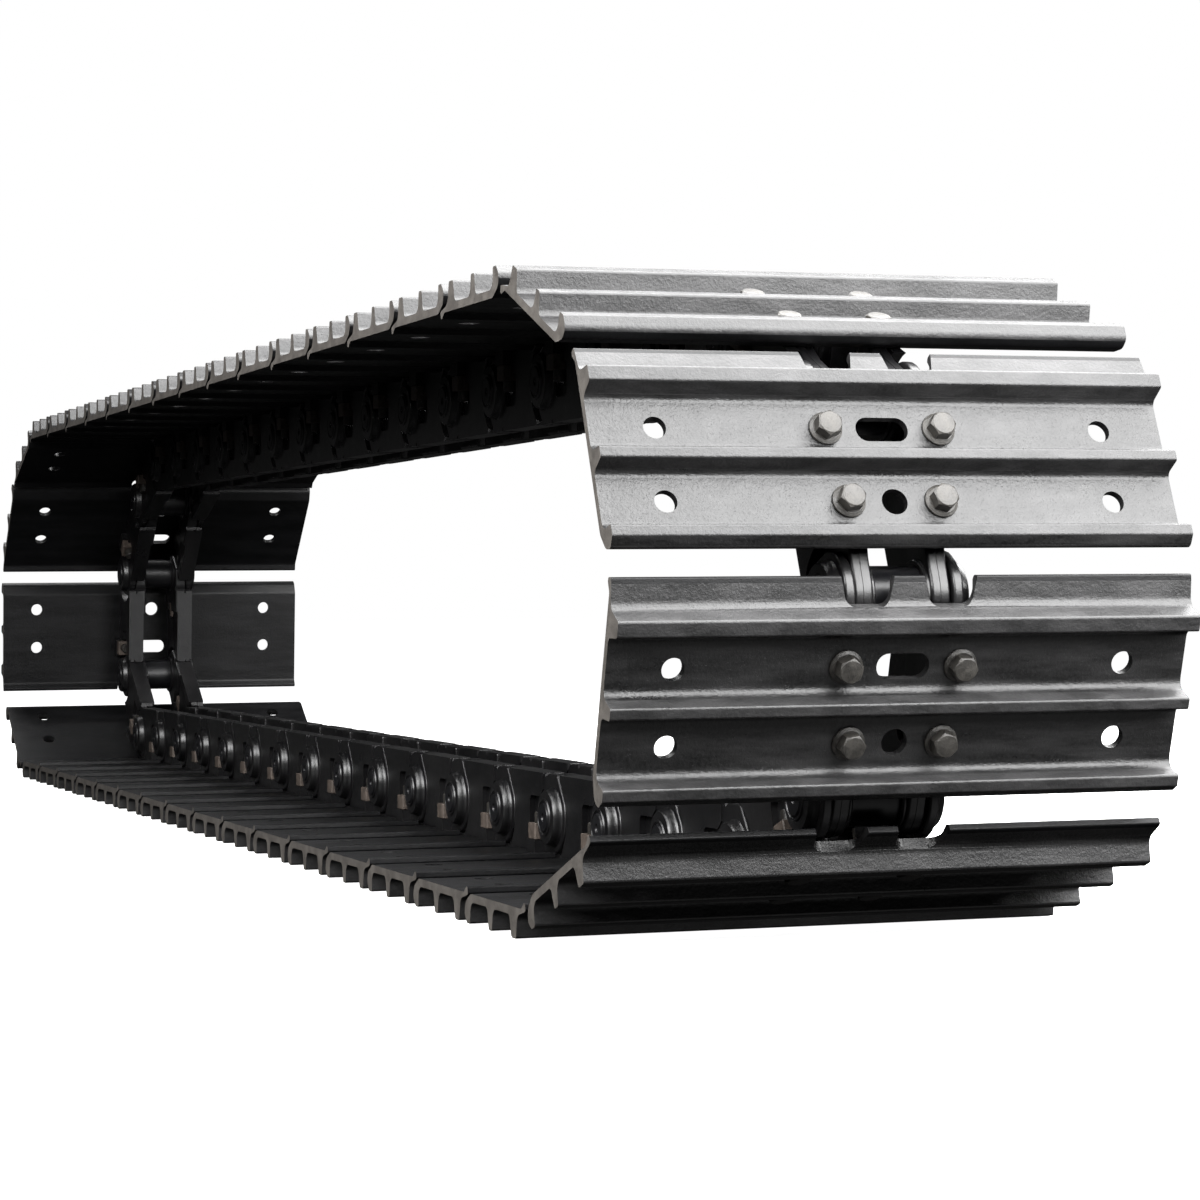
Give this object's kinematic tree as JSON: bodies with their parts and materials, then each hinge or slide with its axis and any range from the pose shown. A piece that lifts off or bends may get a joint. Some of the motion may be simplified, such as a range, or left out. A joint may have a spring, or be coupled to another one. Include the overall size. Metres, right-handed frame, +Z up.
{
  "type": "crawler track group",
  "caption": "Endless crawler track for a compact excavator: link chain with bolted triple-grouser shoes, hinged at its pins and standing on its bottom run.",
  "frame": {"origin": "on the ground, on the track's centre line, below the middle of the loop's overall length", "axes": "+X forward along the bottom run, +Y across the track, +Z up"},
  "size_m": [2.8966, 0.45, 0.5136],
  "materials": {
    "shoe_steel": "semi-gloss dark paint over rolled steel, brighter on the worn edges",
    "link_steel": "glossy black paint over forged steel",
    "pin_steel": "glossy black paint over ground steel",
    "bolt_steel": "phosphated grey steel",
    "nut_steel": "dull tan-brown oiled steel",
    "seal_rubber": "matt black"
  },
  "bodies": {
    "pitch_01": {"segment_01": "shoe_steel"},
    "pitch_02": {"segment_02": "shoe_steel"},
    "pitch_03": {"segment_03": "shoe_steel"},
    "pitch_04": {"segment_04": "shoe_steel"},
    "pitch_05": {"segment_05": "shoe_steel"},
    "pitch_06": {"segment_06": "shoe_steel"},
    "pitch_07": {"segment_07": "shoe_steel"},
    "pitch_08": {"segment_08": "shoe_steel"},
    "pitch_09": {"segment_09": "shoe_steel"},
    "pitch_10": {"segment_10": "shoe_steel"},
    "pitch_11": {"segment_11": "shoe_steel"},
    "pitch_12": {"segment_12": "shoe_steel"},
    "pitch_13": {"segment_13": "shoe_steel"},
    "pitch_14": {"segment_14": "shoe_steel"},
    "pitch_15": {"segment_15": "shoe_steel"},
    "pitch_16": {"segment_16": "shoe_steel"},
    "pitch_17": {"shoe_17": "shoe_steel", "chain_17": "link_steel"},
    "pitch_18": {"shoe_18": "shoe_steel", "chain_18": "link_steel"},
    "pitch_19": {"shoe_19": "shoe_steel", "chain_19": "link_steel"},
    "pitch_20": {"shoe_20": "shoe_steel", "chain_20": "link_steel"},
    "pitch_21": {"segment_21": "shoe_steel"},
    "pitch_22": {"segment_22": "shoe_steel"},
    "pitch_23": {"segment_23": "shoe_steel"},
    "pitch_24": {"segment_24": "shoe_steel"},
    "pitch_25": {"segment_25": "shoe_steel"},
    "pitch_26": {"segment_26": "shoe_steel"},
    "pitch_27": {"segment_27": "shoe_steel"},
    "pitch_28": {"segment_28": "shoe_steel"},
    "pitch_29": {"segment_29": "shoe_steel"},
    "pitch_30": {"segment_30": "shoe_steel"},
    "pitch_31": {"segment_31": "shoe_steel"},
    "pitch_32": {"segment_32": "shoe_steel"},
    "pitch_33": {"segment_33": "shoe_steel"},
    "pitch_34": {"segment_34": "shoe_steel"},
    "pitch_35": {"segment_35": "shoe_steel"},
    "pitch_36": {"shoe_36": "shoe_steel", "chain_36": "link_steel"},
    "pitch_37": {"shoe_37": "shoe_steel", "chain_37": "link_steel"},
    "pitch_38": {"shoe_38": "shoe_steel", "link_right_38": "link_steel", "link_left_38": "link_steel", "pin_38": "pin_steel", "bushing_38": "pin_steel", "seal_right_38": "seal_rubber", "seal_left_38": "seal_rubber", "bolt_38_1": "bolt_steel", "nut_38_1": "nut_steel", "bolt_38_2": "bolt_steel", "nut_38_2": "nut_steel", "bolt_38_3": "bolt_steel", "nut_38_3": "nut_steel", "bolt_38_4": "bolt_steel", "nut_38_4": "nut_steel"},
    "pitch_39": {"shoe_39": "shoe_steel", "chain_39": "link_steel"}
  },
  "joints": [
    {"name": "pivot_01_02", "type": "hinge", "parent": "pitch_01", "child": "pitch_02", "pos_m": [1.0482, 0, 0.0585], "axis": [0, -1, 0], "range_deg": [0, 3]},
    {"name": "pivot_02_03", "type": "hinge", "parent": "pitch_02", "child": "pitch_03", "pos_m": [0.8942, 0, 0.0585], "axis": [0, -1, 0], "range_deg": [0, 3]},
    {"name": "pivot_03_04", "type": "hinge", "parent": "pitch_03", "child": "pitch_04", "pos_m": [0.7402, 0, 0.0585], "axis": [0, -1, 0], "range_deg": [0, 3]},
    {"name": "pivot_04_05", "type": "hinge", "parent": "pitch_04", "child": "pitch_05", "pos_m": [0.5862, 0, 0.0585], "axis": [0, -1, 0], "range_deg": [0, 3]},
    {"name": "pivot_05_06", "type": "hinge", "parent": "pitch_05", "child": "pitch_06", "pos_m": [0.4322, 0, 0.0585], "axis": [0, -1, 0], "range_deg": [0, 3]},
    {"name": "pivot_06_07", "type": "hinge", "parent": "pitch_06", "child": "pitch_07", "pos_m": [0.2782, 0, 0.0585], "axis": [0, -1, 0], "range_deg": [0, 3]},
    {"name": "pivot_07_08", "type": "hinge", "parent": "pitch_07", "child": "pitch_08", "pos_m": [0.1242, 0, 0.0585], "axis": [0, -1, 0], "range_deg": [0, 3]},
    {"name": "pivot_08_09", "type": "hinge", "parent": "pitch_08", "child": "pitch_09", "pos_m": [-0.0298, 0, 0.0585], "axis": [0, -1, 0], "range_deg": [0, 3]},
    {"name": "pivot_09_10", "type": "hinge", "parent": "pitch_09", "child": "pitch_10", "pos_m": [-0.1838, 0, 0.0585], "axis": [0, -1, 0], "range_deg": [0, 3]},
    {"name": "pivot_10_11", "type": "hinge", "parent": "pitch_10", "child": "pitch_11", "pos_m": [-0.3378, 0, 0.0585], "axis": [0, -1, 0], "range_deg": [0, 3]},
    {"name": "pivot_11_12", "type": "hinge", "parent": "pitch_11", "child": "pitch_12", "pos_m": [-0.4918, 0, 0.0585], "axis": [0, -1, 0], "range_deg": [0, 3]},
    {"name": "pivot_12_13", "type": "hinge", "parent": "pitch_12", "child": "pitch_13", "pos_m": [-0.6458, 0, 0.0585], "axis": [0, -1, 0], "range_deg": [0, 3]},
    {"name": "pivot_13_14", "type": "hinge", "parent": "pitch_13", "child": "pitch_14", "pos_m": [-0.7998, 0, 0.0585], "axis": [0, -1, 0], "range_deg": [0, 3]},
    {"name": "pivot_14_15", "type": "hinge", "parent": "pitch_14", "child": "pitch_15", "pos_m": [-0.9538, 0, 0.0585], "axis": [0, -1, 0], "range_deg": [0, 3]},
    {"name": "pivot_15_16", "type": "hinge", "parent": "pitch_15", "child": "pitch_16", "pos_m": [-1.1078, 0, 0.0585], "axis": [0, -1, 0], "range_deg": [0, 3]},
    {"name": "pivot_16_17", "type": "hinge", "parent": "pitch_16", "child": "pitch_17", "pos_m": [-1.2618, 0, 0.0585], "axis": [0, -1, 0], "range_deg": [0, 33.65]},
    {"name": "pivot_01_39", "type": "hinge", "parent": "pitch_01", "child": "pitch_39", "pos_m": [1.2022, 0, 0.0585], "axis": [0, 1, 0], "range_deg": [0, 19.53]},
    {"name": "pivot_39_38", "type": "hinge", "parent": "pitch_39", "child": "pitch_38", "pos_m": [1.34734, 0, 0.10998], "axis": [0, 1, 0], "range_deg": [0, 53.55]},
    {"name": "pivot_38_37", "type": "hinge", "parent": "pitch_38", "child": "pitch_37", "pos_m": [1.39216, 0, 0.25732], "axis": [0, 1, 0], "range_deg": [0, 39.92]},
    {"name": "pivot_37_36", "type": "hinge", "parent": "pitch_37", "child": "pitch_36", "pos_m": [1.33199, 0, 0.39907], "axis": [0, 1, 0], "range_deg": [0, 45.67]},
    {"name": "pivot_36_35", "type": "hinge", "parent": "pitch_36", "child": "pitch_35", "pos_m": [1.18854, 0, 0.45509], "axis": [0, 1, 0], "range_deg": [0, 21.33]},
    {"name": "pivot_35_34", "type": "hinge", "parent": "pitch_35", "child": "pitch_34", "pos_m": [1.03454, 0, 0.45509], "axis": [0, 1, 0], "range_deg": [0, 3]},
    {"name": "pivot_34_33", "type": "hinge", "parent": "pitch_34", "child": "pitch_33", "pos_m": [0.88054, 0, 0.45509], "axis": [0, 1, 0], "range_deg": [0, 3]},
    {"name": "pivot_33_32", "type": "hinge", "parent": "pitch_33", "child": "pitch_32", "pos_m": [0.72654, 0, 0.45509], "axis": [0, 1, 0], "range_deg": [0, 3]},
    {"name": "pivot_32_31", "type": "hinge", "parent": "pitch_32", "child": "pitch_31", "pos_m": [0.57254, 0, 0.45509], "axis": [0, 1, 0], "range_deg": [0, 3]},
    {"name": "pivot_31_30", "type": "hinge", "parent": "pitch_31", "child": "pitch_30", "pos_m": [0.41854, 0, 0.45509], "axis": [0, 1, 0], "range_deg": [0, 3]},
    {"name": "pivot_30_29", "type": "hinge", "parent": "pitch_30", "child": "pitch_29", "pos_m": [0.26454, 0, 0.45509], "axis": [0, 1, 0], "range_deg": [0, 3]},
    {"name": "pivot_29_28", "type": "hinge", "parent": "pitch_29", "child": "pitch_28", "pos_m": [0.11054, 0, 0.45509], "axis": [0, 1, 0], "range_deg": [0, 3]},
    {"name": "pivot_28_27", "type": "hinge", "parent": "pitch_28", "child": "pitch_27", "pos_m": [-0.04346, 0, 0.45509], "axis": [0, 1, 0], "range_deg": [0, 3]},
    {"name": "pivot_27_26", "type": "hinge", "parent": "pitch_27", "child": "pitch_26", "pos_m": [-0.19746, 0, 0.45509], "axis": [0, 1, 0], "range_deg": [0, 3]},
    {"name": "pivot_26_25", "type": "hinge", "parent": "pitch_26", "child": "pitch_25", "pos_m": [-0.35146, 0, 0.45509], "axis": [0, 1, 0], "range_deg": [0, 3]},
    {"name": "pivot_25_24", "type": "hinge", "parent": "pitch_25", "child": "pitch_24", "pos_m": [-0.50546, 0, 0.45509], "axis": [0, 1, 0], "range_deg": [0, 3]},
    {"name": "pivot_24_23", "type": "hinge", "parent": "pitch_24", "child": "pitch_23", "pos_m": [-0.65946, 0, 0.45509], "axis": [0, 1, 0], "range_deg": [0, 3]},
    {"name": "pivot_23_22", "type": "hinge", "parent": "pitch_23", "child": "pitch_22", "pos_m": [-0.81346, 0, 0.45509], "axis": [0, 1, 0], "range_deg": [0, 3]},
    {"name": "pivot_22_21", "type": "hinge", "parent": "pitch_22", "child": "pitch_21", "pos_m": [-0.96746, 0, 0.45509], "axis": [0, 1, 0], "range_deg": [0, 3]},
    {"name": "pivot_21_20", "type": "hinge", "parent": "pitch_21", "child": "pitch_20", "pos_m": [-1.12146, 0, 0.45509], "axis": [0, 1, 0], "range_deg": [0, 18.91]},
    {"name": "pivot_20_19", "type": "hinge", "parent": "pitch_20", "child": "pitch_19", "pos_m": [-1.26715, 0, 0.40518], "axis": [0, 1, 0], "range_deg": [0, 25.57]},
    {"name": "pivot_19_18", "type": "hinge", "parent": "pitch_19", "child": "pitch_18", "pos_m": [-1.37703, 0, 0.29728], "axis": [0, 1, 0], "range_deg": [0, 40.69]}
  ]
}
